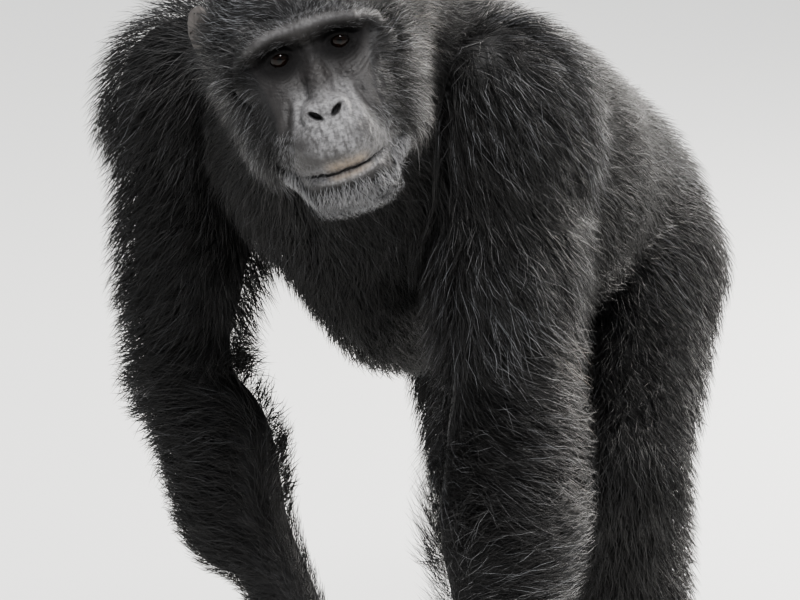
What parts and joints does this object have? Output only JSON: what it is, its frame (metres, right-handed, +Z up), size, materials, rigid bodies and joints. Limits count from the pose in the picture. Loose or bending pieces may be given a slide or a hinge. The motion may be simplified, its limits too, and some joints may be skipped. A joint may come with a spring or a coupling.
{
  "type": "chimpanzee",
  "caption": "Still, life-size model of an adult male chimpanzee walking on its knuckles, head turned a little to its left and tipped.",
  "frame": {"origin": "on the floor under the middle of the animal's bounding box", "axes": "+Z up, -Y the way the animal walks, +X its left side"},
  "size_m": [0.4648, 1.049, 0.8521],
  "materials": {
    "coat": "long black hair with fine silver hairs",
    "face": "bare wrinkled grey-brown skin, haired round the face",
    "skin": "bare dark skin",
    "ear": "bare grey-brown skin",
    "eye": "wet dark brown"
  },
  "bodies": {
    "root": {"head": "face", "neck": "coat", "chest": "coat", "belly": "coat", "pelvis": "coat", "ear_left": "ear", "eye_left": "eye", "upper_arm_left": "coat", "forearm_left": "coat", "hand_left": "skin", "index_finger_left": "skin", "middle_finger_left": "skin", "ring_finger_left": "skin", "little_finger_left": "skin", "thumb_left": "skin", "thigh_left": "coat", "shin_left": "coat", "foot_left": "skin", "second_toe_left": "skin", "third_toe_left": "skin", "fourth_toe_left": "skin", "fifth_toe_left": "skin", "big_toe_left": "skin", "ear_right": "ear", "eye_right": "eye", "upper_arm_right": "coat", "forearm_right": "coat", "hand_right": "skin", "index_finger_right": "skin", "middle_finger_right": "skin", "ring_finger_right": "skin", "little_finger_right": "skin", "thumb_right": "skin", "thigh_right": "coat", "shin_right": "coat", "foot_right": "skin", "second_toe_right": "skin", "third_toe_right": "skin", "fourth_toe_right": "skin", "fifth_toe_right": "skin", "big_toe_right": "skin"}
  },
  "joints": []
}
